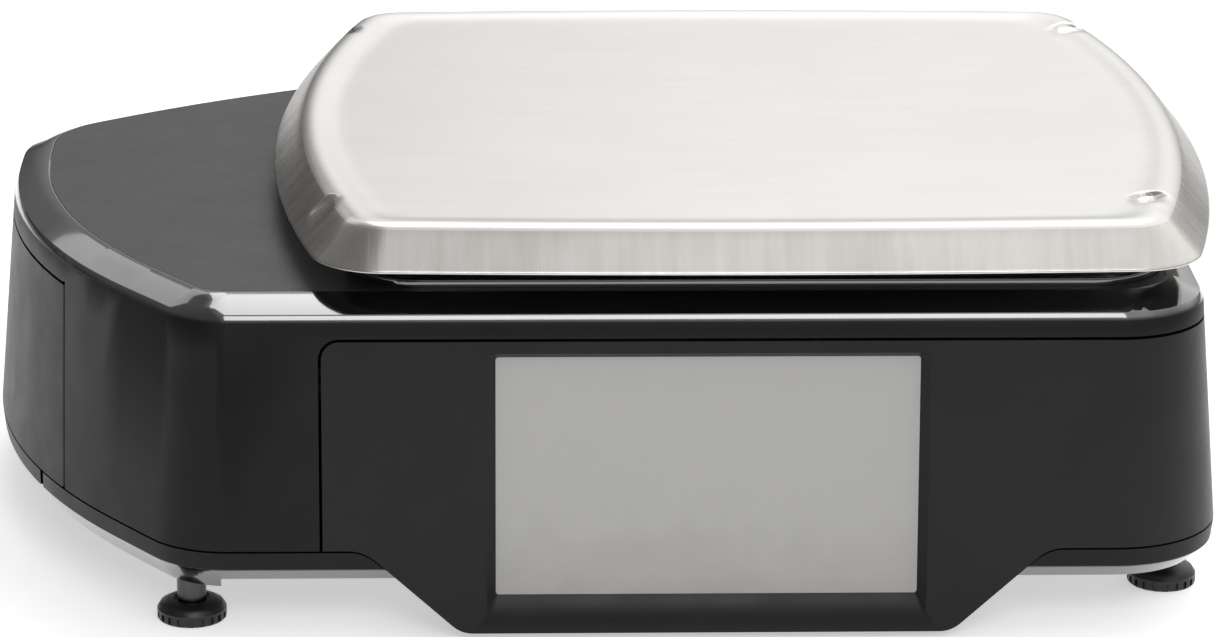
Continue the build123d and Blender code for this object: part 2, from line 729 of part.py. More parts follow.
def port_block():
    """Network and serial sockets on one moulded block."""
    low, high = (218, PORTS_Y - 24, SOCKET_Z - 9), (SOCKET_FACE, PORTS_Y + 24, SOCKET_Z + 9)
    body = block(low, high)
    for y, width in ((PORTS_Y - 13, 12.0), (PORTS_Y + 9, 16.0)):
        body -= block(
            (SOCKET_FACE - 13, y - width / 2, SOCKET_Z - 4),
            (SOCKET_FACE + 1, y + width / 2, SOCKET_Z + 4))
    return body


ROCKER_AXIS = (SOCKET_FACE - 3.0, SWITCH_Y, SOCKET_Z)
ROCKER_TILT = 10.0
ROCKER_PIN = 1.5


def switch_body():
    body = block((216, SWITCH_Y - 8, SOCKET_Z - 12), (SOCKET_FACE, SWITCH_Y + 8, SOCKET_Z + 12))
    body -= block((226, SWITCH_Y - 6, SOCKET_Z - 10), (SOCKET_FACE + 3, SWITCH_Y + 6, SOCKET_Z + 10))
    return body - rocker_pivot(ROCKER_PIN + RUNNING, 9)


def rocker_pivot(radius, half_length):
    """A round bar along the rocker's pivot."""
    x, y, z = ROCKER_AXIS
    return rod(radius, (x, y - half_length, z), (x, y + half_length, z))


def switch_rocker():
    """The rocker at rest in its off position, tilted about its pivot pins."""
    rocker = Box(8, 11.2, 16.4)
    rocker = Pos(1.5, 0, 0) * fillet(rocker.edges().filter_by(Axis.Y).group_by(Axis.X)[-1], 1.5)
    return Pos(*ROCKER_AXIS) * Rot(0, ROCKER_TILT, 0) * rocker + rocker_pivot(ROCKER_PIN, 7.5)


def side_wall_cuts():
    """Openings in the right-hand wall for the inlet, the switch and the ports."""
    cuts = []
    for y, half_y, half_z in ((INLET_Y, 14.5, 10.5), (SWITCH_Y, 8.4, 12.4), (PORTS_Y, 24.4, 9.4)):
        cuts.append(block(
            (SOCKET_FACE - 7, y - half_y, SOCKET_Z - half_z),
            (270, y + half_y, SOCKET_Z + half_z)))
    return cuts


# ---------------------------------------------------------------- printer face, door and latch
def printer_face():
    face = (housing_block() - housing_hollow()) & face_region()
    width, height = OUTLET_SLOT
    slot = block((-width / 2, 70, PLATEN[1] - 1), (width / 2, 160, PLATEN[1] - 1 + height))
    return face - in_printer(slot) - latch_slot()


def tear_bar():
    """A serrated steel strip along the lower lip of the label outlet."""
    top = PLATEN[1] - 2.2
    bar = block((-WEB / 2, TEAR_BAR_Y, top - 9), (WEB / 2, TEAR_BAR_Y + 1.2, top))
    teeth = 20
    pitch = WEB / teeth
    for i in range(teeth):
        x = -WEB / 2 + i * pitch
        tooth = Plane.XZ * polygon(
            (x + 0.15, top - 0.2), (x + pitch / 2, top + 1.6), (x + pitch - 0.15, top - 0.2))
        bar += Pos(0, TEAR_BAR_Y, 0) * extrude(tooth, -1.2)
    return in_printer(bar)


def printer_door():
    door = (housing_block() - housing_hollow()) & door_region()
    low, high = SPLIT + 0.4, DOOR_TOP - 0.4
    door += hinge_line(HINGE_DEPTH, low, high)
    door -= hinge_line(HINGE_PIN + RUNNING, low - 1, low + 9)
    door -= hinge_line(HINGE_PIN + RUNNING, high - 9, high + 1)
    grip = nose_point(FACE_START - 14, 8.6)
    return door - Pos(grip.X, grip.Y, 74) * Sphere(10.2)


def door_hinge_pins():
    lower = hinge_line(HINGE_PIN, SPLIT - 6, SPLIT + 8)
    upper = hinge_line(HINGE_PIN, DOOR_TOP - 8, DOOR_TOP + GAP + 7)
    return Compound([lower, upper])


LATCH_Z = 96.0
LATCH_PLACE = 8.0       # along the nose line


def latch_frame(shape):
    """Places a shape on the printer face: x along the nose line, y outwards from the face."""
    spot = nose_point(LATCH_PLACE, LEAN * (WALL_TOP - LATCH_Z))
    frame = Plane(origin=(spot.X, spot.Y, LATCH_Z), x_dir=heading_vector(NOSE_HEADING - 1), z_dir=(0, 0, 1))
    return frame * shape


def latch_slot():
    return latch_frame(Pos(1, 0, 0) * Box(16, 14, 8))


def door_latch():
    """A thumb slide in the printer face whose tongue reaches behind the door's free edge."""
    thumb = Pos(-4, 1.8, 0) * Box(14, 1.6, 14)
    thumb = chamfer(thumb.faces().sort_by(Axis.Y)[-1].edges(), 0.7)
    shank = Pos(-4, -2.8, 0) * Box(5, 8.0, 6)
    tongue = Pos(-12, -7.2, 0) * Box(28, 2, 9)
    return latch_frame(thumb + shank + tongue)


# ---------------------------------------------------------------- printer mechanism
def gear(teeth, bore, phase=0.0):
    """A spur gear with straight-sided stub teeth; phase is the share of a pitch it is turned by."""
    pitch_radius = GEAR_MODULE * teeth / 2
    root, tip = pitch_radius - 1.15 * GEAR_MODULE, pitch_radius + 0.8 * GEAR_MODULE
    step = 2 * pi / teeth
    disc = Circle(root)
    for i in range(teeth):
        middle = (i + phase) * step
        disc += polygon(*[
            (radius * cos(middle + side * step), radius * sin(middle + side * step))
            for radius, side in ((root - 0.3, -0.27), (tip, -0.12), (tip, 0.12), (root - 0.3, 0.27))
        ])
    if bore:
        disc -= Circle(bore)
    return Plane(origin=(GEAR_X, 0, 0), x_dir=(0, 1, 0), z_dir=(1, 0, 0)) * extrude(disc, GEAR_WIDTH)


def gear_spacing(first, second):
    return GEAR_MODULE * (first + second) / 2 + 0.15


IDLER_Y = PLATEN[0] - gear_spacing(PLATEN_TEETH, IDLER_TEETH)
PINION_Y = IDLER_Y - gear_spacing(IDLER_TEETH, PINION_TEETH)
REWIND = (-61.0, -8.0)
BELT_X = GEAR_X + GEAR_WIDTH + 0.8
BELT_WIDTH, BELT_THICKNESS = 4.0, 1.2
PULLEYS = (5.0, 14.0)   # belt pulley radii on the motor and on the rewind spindle
MOTOR_FACE = BELT_X + BELT_WIDTH + 2.5
HEAD_PIVOT = (62.0, 10.0)


def printer_side_plate():
    """Inner side plate with a foot, which carries every shaft of the printer."""
    x = SIDE_PLATE_X
    floor = PAN_BOTTOM + PAN_WALL - ROLL_CENTRE[2]
    plate = block((x, -86, floor), (x + 2, 98, 30))
    plate += block((x - 20, -86, floor), (x + 2, 98, floor + 2))
    for y, z, bore in (
        (0, 0, 4.0), (PLATEN[0], PLATEN[1], 3.0), (IDLER_Y, PLATEN[1], 2.0), (REWIND[0], REWIND[1], 3.0),
        (HEAD_PIVOT[0], HEAD_PIVOT[1], 2.5)):
        plate -= x_rod(bore + RUNNING, x - 1, x + 3, y, z)
    plate -= x_rod(5.5, x - 1, x + 3, PINION_Y, PLATEN[1])
    return in_printer(plate)


def printer_outer_bracket():
    """Outer bracket that holds the far ends of the platen and the head shaft."""
    x = -SIDE_PLATE_X
    floor = PAN_BOTTOM + PAN_WALL - ROLL_CENTRE[2]
    plate = block((x - 2, 52, floor), (x, 94, 18))
    plate += block((x - 2, 52, floor), (x + 14, 94, floor + 2))
    plate -= x_rod(3.0 + RUNNING, x - 3, x + 1, PLATEN[0], PLATEN[1])
    plate -= x_rod(2.5 + RUNNING, x - 3, x + 1, *HEAD_PIVOT)
    return in_printer(plate)


def roll_spindle():
    """Hub for the label roll's core with its inner flange, on a shaft through the side plate."""
    spindle = x_rod(12.0, -WEB / 2 - 4, SIDE_PLATE_X - 1.5)
    spindle = fillet(spindle.faces().sort_by(Axis.X)[0].edges(), 2.0)
    spindle += x_rod(37.0, SIDE_PLATE_X - 5, SIDE_PLATE_X - 3)
    spindle += x_rod(4.0, SIDE_PLATE_X - 2, SIDE_PLATE_X + 4)
    return in_printer(spindle)


def roll_guide():
    """Outer flange that slides along the spindle to suit the width of the labels."""
    guide = tube(37, 12.0 + RUNNING, (-WEB / 2 + 2, 0, 0), (-WEB / 2 + 4.5, 0, 0))
    guide += tube(16, 12.0 + RUNNING, (-WEB / 2 - 3, 0, 0), (-WEB / 2 + 4, 0, 0))
    return in_printer(guide)


def platen_roller():
    """Rubber print roller."""
    y, z, radius = PLATEN
    return in_printer(tube(radius, 3.0, (-WEB / 2 - 1, y, z), (WEB / 2 + 1, y, z)))


def platen_shaft():
    return in_printer(x_rod(3.0, -SIDE_PLATE_X - 4, GEAR_X + GEAR_WIDTH + 1, PLATEN[0], PLATEN[1]))


def platen_gear():
    return in_printer(Pos(0, PLATEN[0], PLATEN[1]) * gear(PLATEN_TEETH, 3.0))


def idler_gear():
    wheel = gear(IDLER_TEETH, 0, phase=0.5) + x_rod(2.0, SIDE_PLATE_X - 1, GEAR_X + 1)
    return in_printer(Pos(0, IDLER_Y, PLATEN[1]) * wheel)


def motor_pinion():
    """Motor shaft with its pinion and the pulley of the rewind belt."""
    wheel = gear(PINION_TEETH, 0) + x_rod(1.5, GEAR_X, MOTOR_FACE - 0.3)
    wheel += x_rod(PULLEYS[0], GEAR_X + GEAR_WIDTH, BELT_X + BELT_WIDTH)
    return in_printer(Pos(0, PINION_Y, PLATEN[1]) * wheel)


def stepper_motor():
    """Motor behind the gears, held off the side plate by two posts."""
    y, z = PINION_Y, PLATEN[1]
    motor = block((MOTOR_FACE, y - 17.5, z - 17.5), (MOTOR_FACE + 30, y + 17.5, z + 17.5))
    motor = chamfer(motor.edges().filter_by(Axis.X), 4)
    for dz in (-13, 13):
        motor += x_rod(2.5, SIDE_PLATE_X + 2, MOTOR_FACE, y - 13, z + dz)
    return in_printer(motor)


def rewind_spindle():
    """Take-up spindle for the empty backing paper, with its flange and belt pulley."""
    spindle = x_rod(10.0, -WEB / 2, SIDE_PLATE_X - 1.5, *REWIND)
    spindle += x_rod(16.0, SIDE_PLATE_X - 4, SIDE_PLATE_X - 1.5, *REWIND)
    spindle += x_rod(3.0, SIDE_PLATE_X - 2, BELT_X + BELT_WIDTH, *REWIND)
    spindle += x_rod(PULLEYS[1], BELT_X - 0.5, BELT_X + BELT_WIDTH, *REWIND)
    slot = block((-WEB / 2 - 1, REWIND[0] - 0.75, REWIND[1]), (WEB / 2, REWIND[0] + 0.75, REWIND[1] + 12))
    return in_printer(spindle - slot)


def belt_outline(clearance):
    """The stretched loop round both pulleys, in the (y, z) plane of the printer."""
    motor = Pos(PINION_Y, PLATEN[1]) * Circle(PULLEYS[0] + clearance)
    rewind = Pos(*REWIND) * Circle(PULLEYS[1] + clearance)
    return make_hull((motor + rewind).edges())


def rewind_belt():
    loop = belt_outline(RUNNING + BELT_THICKNESS) - belt_outline(RUNNING)
    across = Plane(origin=(BELT_X, 0, 0), x_dir=(0, 1, 0), z_dir=(1, 0, 0))
    return in_printer(across * extrude(loop, BELT_WIDTH))


def print_head():
    """Thermal head on a pivoting bracket above the platen."""
    y, z, radius = PLATEN
    half = WEB / 2 + 1
    head = block((-half, y - 6, z + radius + 0.3), (half, y + 6, z + radius + 6))
    head += block((-half, y - 20, z + radius + 5), (half, y + 6, z + radius + 8))
    head += block(
        (-half, HEAD_PIVOT[0] - 4, HEAD_PIVOT[1] - 10),
        (half, HEAD_PIVOT[0] + 2, HEAD_PIVOT[1] + 3))
    return in_printer(head - x_rod(2.5 + RUNNING, -half - 1, half + 1, *HEAD_PIVOT))


def head_shaft():
    return in_printer(x_rod(2.5, -SIDE_PLATE_X - 8, SIDE_PLATE_X + 3, *HEAD_PIVOT))


LEVER_SHIFT = -SIDE_PLATE_X - 7.0


def head_lever():
    """Release lever on the outer end of the head shaft."""
    y, z = HEAD_PIVOT
    arm = polygon(
        (y - 34, z + 12), (y - 4, z - 6), (y + 6, z - 6), (y + 6, z + 6), (y - 28, z + 22),
        radius=2.5)
    lever = Plane(origin=(LEVER_SHIFT, 0, 0), x_dir=(0, 1, 0), z_dir=(1, 0, 0)) * extrude(arm, 4)
    lever -= x_rod(2.5, LEVER_SHIFT - 1, LEVER_SHIFT + 5, y, z)
    return in_printer(lever)


# ---------------------------------------------------------------- all nodes
SINGLE_PIECES = (
    # housing
    main_cover, top_inlay, spill_ring, front_panel, base_pan, bay_sill, case_screws,
    # displays
    customer_screen, customer_lcd_module, customer_display_board,
    operator_panel, operator_screen, operator_lcd_module, key_board,
    # weighing mechanism
    chassis_frame, load_cell, load_cell_spacers, load_cell_screws, overload_stops,
    spider, spider_pads, platter,
    # electronics
    mainboard, board_standoffs, board_chips, power_supply, mains_inlet, port_block,
    switch_body, switch_rocker,
    # printer casing
    printer_face, tear_bar, printer_door, door_hinge_pins, door_latch,
    # printer mechanism
    printer_side_plate, printer_outer_bracket, roll_spindle, roll_guide, platen_roller, platen_shaft,
    platen_gear, idler_gear, motor_pinion, stepper_motor, rewind_spindle, rewind_belt, print_head, head_shaft,
    head_lever,
)

made = {maker.__name__: maker() for maker in SINGLE_PIECES}
for key, spot in KEY_SPOTS.items():
    made[key] = key_cap(spot)
for corner, spot in FEET.items():
    made[f"foot_pad_{corner}"] = foot_pad(*spot)
    made[f"foot_stud_{corner}"] = foot_stud(*spot)

for name, shape in made.items():
    export_step(Pos(-MIDDLE_X, 0, 0) * shape, f"parts/{name}.step")
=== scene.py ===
"""Studio scene of a retail price scale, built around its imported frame. All sizes are in metres."""
import json
from math import atan2, cos, hypot, pi, radians, sin

import bpy
from mathutils import Matrix, Vector


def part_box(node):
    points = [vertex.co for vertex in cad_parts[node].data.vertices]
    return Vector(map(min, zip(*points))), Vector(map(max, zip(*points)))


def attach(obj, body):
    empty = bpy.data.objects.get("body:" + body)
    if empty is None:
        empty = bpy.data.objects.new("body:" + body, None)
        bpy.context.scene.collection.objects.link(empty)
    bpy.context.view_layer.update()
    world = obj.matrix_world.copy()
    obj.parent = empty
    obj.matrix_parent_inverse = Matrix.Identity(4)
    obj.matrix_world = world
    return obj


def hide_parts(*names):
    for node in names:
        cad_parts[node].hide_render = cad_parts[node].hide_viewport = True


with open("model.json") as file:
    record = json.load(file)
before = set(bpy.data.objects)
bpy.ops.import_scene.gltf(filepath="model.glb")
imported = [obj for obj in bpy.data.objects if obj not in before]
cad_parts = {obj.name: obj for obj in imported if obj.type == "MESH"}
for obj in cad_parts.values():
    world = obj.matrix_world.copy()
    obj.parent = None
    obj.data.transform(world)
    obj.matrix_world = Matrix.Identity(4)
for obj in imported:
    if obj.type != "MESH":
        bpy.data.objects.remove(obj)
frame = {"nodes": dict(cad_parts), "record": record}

NODES = frame["nodes"]
SLOT_OF = {row["node"]: row["material_slot"] for row in frame["record"]["subparts"]}
MM = 0.001

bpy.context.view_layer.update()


# ---------------------------------------------------------------- material nodes
def add_node(tree, kind, inputs=None, **settings):
    """Adds a shader node; inputs are values or sockets, by name or index."""
    node = tree.nodes.new(kind)
    for key, value in settings.items():
        setattr(node, key, value)
    for key, value in (inputs or {}).items():
        if isinstance(value, bpy.types.NodeSocket):
            tree.links.new(value, node.inputs[key])
        else:
            node.inputs[key].default_value = value
    return node


def new_material(name, metallic=0.0, **shader_values):
    """A material, its node tree, its shader, and object coordinates in metres."""
    material = bpy.data.materials.new(name)
    material.use_nodes = True
    tree = material.node_tree
    shader = tree.nodes["Principled BSDF"]
    shader.inputs["Metallic"].default_value = metallic
    for key, value in shader_values.items():
        shader.inputs[key.replace("_", " ")].default_value = value
    place = add_node(tree, "ShaderNodeTexCoord").outputs["Object"]
    return material, tree, shader, place


def stretched(tree, place, scale):
    return add_node(tree, "ShaderNodeMapping", {"Vector": place, "Scale": scale}).outputs["Vector"]


def noise(tree, place, size, detail=3.0, roughness=0.55, scale=(1.0, 1.0, 1.0)):
    """Noise whose blobs are about size metres across; scale stretches it along the axes."""
    vector = stretched(tree, place, scale)
    return add_node(tree, "ShaderNodeTexNoise", {
        "Vector": vector, "Scale": 1.0 / size, "Detail": detail, "Roughness": roughness}).outputs["Fac"]


def spread(tree, value, low, high, start=0.3, end=0.7):
    """Maps a noise value from its usual range to low..high."""
    return add_node(tree, "ShaderNodeMapRange", {
        "Value": value, "From Min": start, "From Max": end, "To Min": low, "To Max": high}).outputs["Result"]


def mix_colors(tree, factor, first, second):
    ramp = add_node(tree, "ShaderNodeValToRGB", {"Fac": factor})
    ramp.color_ramp.elements[0].position = 0.35
    ramp.color_ramp.elements[1].position = 0.65
    ramp.color_ramp.elements[0].color = (*first, 1.0)
    ramp.color_ramp.elements[1].color = (*second, 1.0)
    return ramp.outputs["Color"]


def bump(tree, shader, *layers):
    """Stacks bump layers, each a height socket, its depth in metres and its strength."""
    normal = None
    for height, depth, strength in layers:
        inputs = {"Height": height, "Distance": depth, "Strength": strength}
        if normal is not None:
            inputs["Normal"] = normal
        normal = add_node(tree, "ShaderNodeBump", inputs).outputs["Normal"]
    tree.links.new(normal, shader.inputs["Normal"])


def moulded(name, first, second, roughness, grain, grain_depth, **shader_values):
    """Moulded plastic: two close shades, uneven gloss, a fine grain and a faint sink-mark wave."""
    material, tree, shader, place = new_material(name, **shader_values)
    cloud = noise(tree, place, 0.05)
    tree.links.new(mix_colors(tree, cloud, first, second), shader.inputs["Base Color"])
    smudge = noise(tree, place, 0.018, detail=5.0, roughness=0.65)
    tree.links.new(spread(tree, smudge, *roughness), shader.inputs["Roughness"])
    fine = noise(tree, place, grain, detail=2.0)
    wave = noise(tree, place, 0.06, detail=1.0)
    bump(tree, shader, (wave, 0.0004, 0.25), (fine, grain_depth, 0.5))
    return material


def housing_plastic(name):
    """Black housing plastic: grained satin walls between a glossy lower edge and a glossy rim."""
    material, tree, shader, place = new_material(name, Coat_Roughness=0.05, Coat_IOR=2.1)
    height = add_node(tree, "ShaderNodeSeparateXYZ", {"Vector": place}).outputs["Z"]
    rim = spread(tree, height, 0.0, 1.0, *RIM_GLOSS)
    pan = spread(tree, height, 1.0, 0.0, *PAN_GLOSS)
    gloss = add_node(tree, "ShaderNodeMath", {0: rim, 1: pan}, operation="ADD").outputs[0]
    cloud = noise(tree, place, 0.05)
    tree.links.new(mix_colors(tree, cloud, BLACK, SOFT_BLACK), shader.inputs["Base Color"])
    smudge = noise(tree, place, 0.018, detail=5.0, roughness=0.65)
    grain = noise(tree, place, 0.0006, detail=2.0)
    satin = spread(tree, smudge, 0.38, 0.46)
    shine = spread(tree, smudge, 0.08, 0.16)
    rough = add_node(tree, "ShaderNodeMix", {0: gloss, 2: satin, 3: shine}).outputs[0]
    tree.links.new(rough, shader.inputs["Roughness"])
    tree.links.new(spread(tree, gloss, 0.22, 0.8, 0.0, 1.0), shader.inputs["Specular IOR Level"])
    tree.links.new(gloss, shader.inputs["Coat Weight"])
    fade = spread(tree, gloss, 1.0, 0.08, 0.0, 1.0)
    texture = add_node(tree, "ShaderNodeMath", {0: grain, 1: fade}, operation="MULTIPLY").outputs[0]
    wave = noise(tree, place, 0.06, detail=1.0)
    bump(tree, shader, (wave, 0.0003, 0.2), (texture, 0.00005, 0.6))
    return material


def brushed(name, first, second, roughness, along, depth=0.00002):
    """Brushed metal: long thin streaks along the given axes, with soft cloudy stains."""
    material, tree, shader, place = new_material(name, metallic=1.0)
    scale = tuple(0.02 if axis in along else 1.0 for axis in "xyz")
    streaks = noise(tree, place, 0.0004, detail=4.0, roughness=0.7, scale=scale)
    band_scale = tuple(0.1 if axis in along else 1.0 for axis in "xyz")
    bands = noise(tree, place, 0.006, detail=3.0, scale=band_scale)
    cloud = noise(tree, place, 0.07, detail=3.0)
    blend = add_node(tree, "ShaderNodeMix", {0: 0.55, 2: bands, 3: cloud}).outputs[0]
    tree.links.new(mix_colors(tree, blend, first, second), shader.inputs["Base Color"])
    tree.links.new(spread(tree, streaks, *roughness), shader.inputs["Roughness"])
    bump(tree, shader, (streaks, depth, 0.35))
    return material


def display_glass(name):
    """A switched-off display behind glass: plain grey with wiped smears and a darker lower edge."""
    material, tree, shader, place = new_material(
        name, Specular_IOR_Level=0.5, Coat_Weight=0.35, Coat_Roughness=0.12)
    smear = noise(tree, place, 0.05, detail=4.0, roughness=0.6, scale=(0.6, 1.0, 1.5))
    spots = noise(tree, place, 0.012, detail=2.0)
    height = add_node(tree, "ShaderNodeSeparateXYZ", {"Vector": place}).outputs["Z"]
    wavy = add_node(tree, "ShaderNodeMath", {0: smear, 1: 0.03}, operation="MULTIPLY").outputs[0]
    level = add_node(tree, "ShaderNodeMath", {0: height, 1: wavy}, operation="ADD").outputs[0]
    low_edge = spread(tree, level, 1.0, 0.0, 0.02, 0.075)
    tone = add_node(tree, "ShaderNodeMath", {0: low_edge, 1: 0.35}, operation="MULTIPLY").outputs[0]
    mottled = add_node(tree, "ShaderNodeMath", {0: spots, 1: 0.25}, operation="MULTIPLY").outputs[0]
    first = add_node(tree, "ShaderNodeMath", {0: tone, 1: mottled}, operation="ADD").outputs[0]
    second = add_node(tree, "ShaderNodeMath", {0: smear, 1: 0.35}, operation="MULTIPLY").outputs[0]
    mottle = add_node(tree, "ShaderNodeMath", {0: first, 1: second}, operation="ADD").outputs[0]
    ramp = mix_colors(tree, mottle, (0.42, 0.415, 0.408), (0.34, 0.332, 0.324))
    tree.links.new(ramp, shader.inputs["Base Color"])
    tree.links.new(spread(tree, smear, 0.34, 0.5), shader.inputs["Roughness"])
    bump(tree, shader, (spots, 0.00005, 0.1))
    return material


def circuit_board(name):
    """Green solder mask with thin copper tracks under it."""
    material, tree, shader, place = new_material(name, Specular_IOR_Level=0.6)
    cells = add_node(tree, "ShaderNodeTexVoronoi", {"Vector": place, "Scale": 140.0},
                     feature="DISTANCE_TO_EDGE", distance="MANHATTAN").outputs["Distance"]
    track = spread(tree, cells, 1.0, 0.0, 0.04, 0.07)
    mask = mix_colors(tree, track, (0.006, 0.075, 0.028), (0.02, 0.17, 0.06))
    tree.links.new(mask, shader.inputs["Base Color"])
    tree.links.new(spread(tree, noise(tree, place, 0.01), 0.28, 0.45), shader.inputs["Roughness"])
    bump(tree, shader, (track, 0.00006, 0.5))
    return material


BLACK, SOFT_BLACK = (0.0052, 0.0052, 0.0058), (0.0075, 0.0075, 0.0082)
RIM_GLOSS = 127.2 * MM, 128.4 * MM      # heights between which the wall turns into the glossy rim
PAN_GLOSS = 27.6 * MM, 28.8 * MM        # heights between which the glossy lower edge turns into the wall
WELD_DISTANCE = 0.01 * MM
SHARP_ANGLE = radians(32)               # edges with a greater angle stay sharp
FINISHES = {
    "gloss_black_plastic": housing_plastic("HousingBlack"),
    "satin_black_plastic": moulded(
        "SatinBlack", (0.005, 0.005, 0.005), (0.007, 0.007, 0.007), (0.34, 0.42), 0.0005, 0.00003,
        Specular_IOR_Level=0.3),
    "textured_grey_plastic": moulded(
        "DeckGrey", (0.02, 0.02, 0.021), (0.024, 0.024, 0.025), (0.42, 0.48), 0.0006, 0.00006),
    "display_glass": display_glass("DisplayGlass"),
    "stainless_steel": brushed(
        "StainlessPlatter", (0.73, 0.715, 0.695), (0.77, 0.757, 0.74), (0.28, 0.34), along="x",
        depth=0.00001),
    # painted shade: the skirts get darker copies of the platter's steel colour, the side skirts darker still
    "end_skirt_painted_shade": brushed(
        "StainlessEndSkirtPaintedShade", (0.56, 0.54, 0.515), (0.7, 0.685, 0.665), (0.26, 0.4), along="yz"),
    "side_skirt_painted_shade": brushed(
        "StainlessSideSkirtPaintedShade", (0.42, 0.4, 0.375), (0.66, 0.64, 0.615), (0.2, 0.36), along="xz"),
    "plated_steel": brushed("PlatedSteel", (0.42, 0.42, 0.42), (0.56, 0.56, 0.57), (0.26, 0.42), along="z"),
    "stud_steel": brushed("StudSteel", (0.05, 0.05, 0.052), (0.1, 0.1, 0.105), (0.24, 0.38), along="z"),
    "aluminium": brushed("Aluminium", (0.66, 0.67, 0.69), (0.76, 0.77, 0.79), (0.3, 0.45), along="x"),
    "black_rubber": moulded(
        "Rubber", (0.012, 0.012, 0.012), (0.02, 0.02, 0.02), (0.6, 0.75), 0.0008, 0.00005),
    "foot_plastic": moulded(
        "FootPlastic", (0.008, 0.008, 0.008), (0.014, 0.014, 0.014), (0.3, 0.42), 0.0006, 0.00003),
    "nylon": moulded("Nylon", (0.62, 0.6, 0.53), (0.7, 0.68, 0.62), (0.35, 0.5), 0.001, 0.00003),
    "brass": brushed("Brass", (0.62, 0.45, 0.17), (0.72, 0.54, 0.24), (0.22, 0.36), along="y"),
    "dark_plastic": moulded(
        "DarkPlastic", (0.014, 0.014, 0.015), (0.022, 0.022, 0.023), (0.38, 0.5), 0.0006, 0.00004),
    "key_plastic": moulded("KeyPlastic", (0.33, 0.34, 0.35), (0.38, 0.39, 0.4), (0.4, 0.5), 0.0005, 0.00003),
    "circuit_board": circuit_board("CircuitBoard"),
    "motor_steel": moulded(
        "MotorSteel", (0.03, 0.03, 0.032), (0.045, 0.045, 0.048), (0.3, 0.45), 0.001, 0.00003, metallic=0.6),
}

for name, node in NODES.items():
    node.data.shade_smooth()
    # the mesh is welded first, so that only its real edges stay sharp
    weld = node.modifiers.new("weld", "WELD")
    weld.merge_threshold = WELD_DISTANCE
    creases = node.modifiers.new("creases", "EDGE_SPLIT")
    creases.split_angle = SHARP_ANGLE
    finish = "stud_steel" if name.startswith("foot_stud") else SLOT_OF[name]
    node.data.materials.clear()
    node.data.materials.append(FINISHES[finish])


# ---------------------------------------------------------------- platter
PLATTER_LOW, PLATTER_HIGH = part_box("platter")
PLATTER_X, PLATTER_Y = (PLATTER_LOW.x + PLATTER_HIGH.x) / 2, (PLATTER_LOW.y + PLATTER_HIGH.y) / 2
HALF_X, HALF_Y = PLATTER_HIGH.x - PLATTER_X, PLATTER_HIGH.y - PLATTER_Y
BULGE_X, BULGE_Y = 25 * MM, 4 * MM      # how far the sides and the ends bow out
OUTER_CORNER, INNER_CORNER = 30 * MM, 15 * MM
SIDE_STEPS, CORNER_STEPS = 150, 28      # points on half a side and on a corner
SKIRT_TOP = 2.0 * MM                    # how far below the lip the skirt's own brushing and its painted shade, a darker steel colour, start

# the pressed sheet from its lower outer edge to the floor: (inset, height below the lip)
PROFILE = (
    (1.1, 16.5), (0.5, 16.45), (0.12, 16.2), (0.0, 15.8), (0.35, 15.2), (2.0, 13.2), (4.5, 10.1),
    (7.0, 7.0), (9.2, 4.25), (10.3, 2.95), (11.2, 2.0), (12.1, 1.25), (13.2, 0.65), (14.5, 0.22),
    (16.0, 0.02), (17.6, 0.06), (19.5, 0.35), (21.5, 0.8), (23.5, 1.22), (25.5, 1.52), (27.5, 1.66),
    (30.0, 1.7), (40.0, 1.7),
)


def arc_through(half_chord, sagitta):
    return (half_chord ** 2 + sagitta ** 2) / (2 * sagitta)


def arc_points(centre, radius, start, end, steps):
    """Points from one angle towards the other, without the last one."""
    return [
        Vector((centre[0] + radius * cos(a), centre[1] + radius * sin(a)))
        for a in (start + (end - start) * i / steps for i in range(steps))
    ]


def quadrant(inset):
    """The outline from the front's middle to the right side's middle, without its last point."""
    crown_x, crown_y = HALF_X - inset, HALF_Y - inset
    front_radius = arc_through(crown_x - BULGE_X, BULGE_Y)
    side_radius = arc_through(crown_y - BULGE_Y, BULGE_X)
    front_centre = Vector((0.0, -crown_y + front_radius))
    side_centre = Vector((crown_x - side_radius, 0.0))
    corner = max(OUTER_CORNER - inset, INNER_CORNER)
    # the corner's centre is where both side arcs, moved inwards by its radius, cross
    reach_front, reach_side = front_radius - corner, side_radius - corner
    gap = side_centre - front_centre
    along = (gap.length_squared + reach_front ** 2 - reach_side ** 2) / (2 * gap.length)
    across = (reach_front ** 2 - along ** 2) ** 0.5
    unit = gap.normalized()
    centre = front_centre + unit * along + Vector((-unit.y, unit.x)) * across
    if centre.y > 0 or centre.x < 0:
        centre = front_centre + unit * along - Vector((-unit.y, unit.x)) * across
    start = (centre - front_centre).normalized()
    end = (centre - side_centre).normalized()
    first, second = atan2(start.y, start.x), atan2(end.y, end.x)
    return (arc_points(front_centre, front_radius, -pi / 2, first, SIDE_STEPS)
            + arc_points(centre, corner, first, second, CORNER_STEPS)
            + arc_points(side_centre, side_radius, second, 0.0, SIDE_STEPS))


def platter_outline(inset):
    """The closed outline, anticlockwise from the front's middle."""
    right = quadrant(inset)
    side_middle, back_middle = Vector((HALF_X - inset, 0.0)), Vector((0.0, HALF_Y - inset))
    half = right + [side_middle] + [Vector((p.x, -p.y)) for p in right[:0:-1]]
    return half + [back_middle] + [Vector((-p.x, p.y)) for p in half[:0:-1]]


# drain grooves across the lip at the four corners
GROOVES = [(-171.5 * MM, -127 * MM), (-168 * MM, 141 * MM), (156 * MM, -127 * MM), (157 * MM, 141 * MM)]
GROOVE_HALF_X, GROOVE_FRONT, GROOVE_BACK, GROOVE_DEPTH = 7.5 * MM, 12 * MM, 2.0 * MM, 2.2 * MM
GROOVE_ARCH = 5 * MM                    # how far the middle of the rear wall bows back


def smooth(value):
    value = min(max(value, 0.0), 1.0)
    return value * value * (3 - 2 * value)


